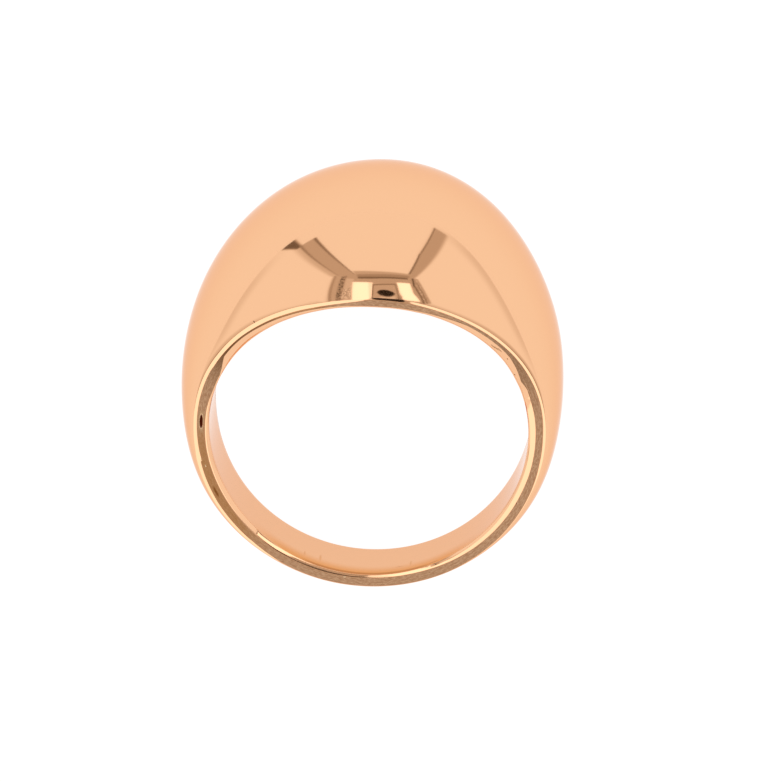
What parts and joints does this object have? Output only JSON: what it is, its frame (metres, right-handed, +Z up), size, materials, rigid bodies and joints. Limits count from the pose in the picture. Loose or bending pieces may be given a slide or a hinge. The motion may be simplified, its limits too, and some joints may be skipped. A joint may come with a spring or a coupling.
{
  "type": "domed finger ring",
  "caption": "Wide domed finger ring in polished rose gold, one solid that tapers to a narrow shank, lying on its side.",
  "frame": {"origin": "middle of the footprint's box on the surface that the ring lies on", "axes": "+Z up, +Y from the narrow shank towards the dome, +X across the ring; the finger hole leans about 17 degrees from +Z towards -Y"},
  "size_m": [0.0202, 0.0228, 0.0144],
  "materials": {
    "rose_gold": "polished"
  },
  "bodies": {
    "root": {"ring": "rose_gold"}
  },
  "joints": []
}
